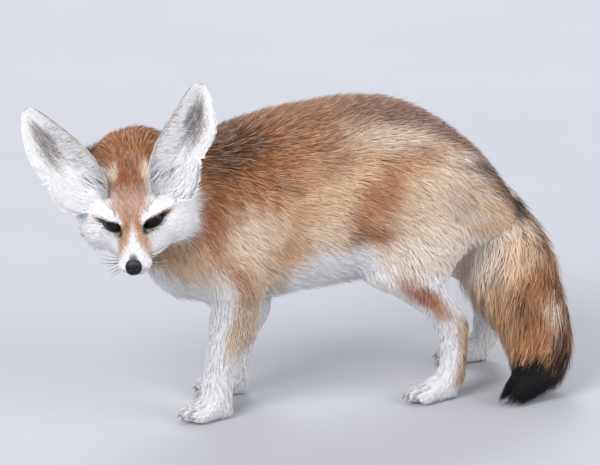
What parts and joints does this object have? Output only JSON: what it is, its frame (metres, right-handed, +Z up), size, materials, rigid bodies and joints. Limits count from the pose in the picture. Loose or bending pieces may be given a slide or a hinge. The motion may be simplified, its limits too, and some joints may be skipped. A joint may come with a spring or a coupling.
{
  "type": "fennec fox",
  "caption": "Small, large-eared desert fox, life size, standing on all four paws with its head turned to its left and its bushy tail hanging behind.",
  "frame": {"origin": "on the floor under the middle of the whole model's box", "axes": "+Z up; the fox's body faces -X; +Y is to its right, so its turned head looks towards -Y; soles at Z = 0"},
  "size_m": [0.4106, 0.1484, 0.2645],
  "materials": {
    "sand_fur": "short dense sandy coat, matt, pale underfur and darker tips",
    "tawny_fur": "tawny coat grizzled with dark and pale tips, matt",
    "white_fur": "soft cream white fur, matt",
    "black_fur": "long black hair of the tail's tip, a slight sheen",
    "nose_skin": "moist pebbled black skin, satin",
    "eye": "very dark brown, wet gloss",
    "claw": "horn, satin, dark at the root"
  },
  "bodies": {
    "root": {"belly": "sand_fur", "chest": "sand_fur", "claw_front_left_1": "claw", "claw_front_left_2": "claw", "claw_front_left_3": "claw", "claw_front_left_4": "claw", "claw_front_right_1": "claw", "claw_front_right_2": "claw", "claw_front_right_3": "claw", "claw_front_right_4": "claw", "claw_hind_left_1": "claw", "claw_hind_left_2": "claw", "claw_hind_left_3": "claw", "claw_hind_left_4": "claw", "claw_hind_right_1": "claw", "claw_hind_right_2": "claw", "claw_hind_right_3": "claw", "claw_hind_right_4": "claw", "ear_left": "white_fur", "ear_right": "white_fur", "eye_left": "eye", "eye_right": "eye", "forearm_left": "sand_fur", "forearm_right": "sand_fur", "head": "white_fur", "hind_foot_left": "white_fur", "hind_foot_right": "white_fur", "neck": "tawny_fur", "nose": "nose_skin", "paw_front_left": "white_fur", "paw_front_right": "white_fur", "paw_hind_left": "white_fur", "paw_hind_right": "white_fur", "rump": "sand_fur", "shank_left": "white_fur", "shank_right": "white_fur", "tail_base": "tawny_fur", "tail_middle": "tawny_fur", "tail_tip": "black_fur", "thigh_left": "sand_fur", "thigh_right": "sand_fur"}
  },
  "joints": []
}
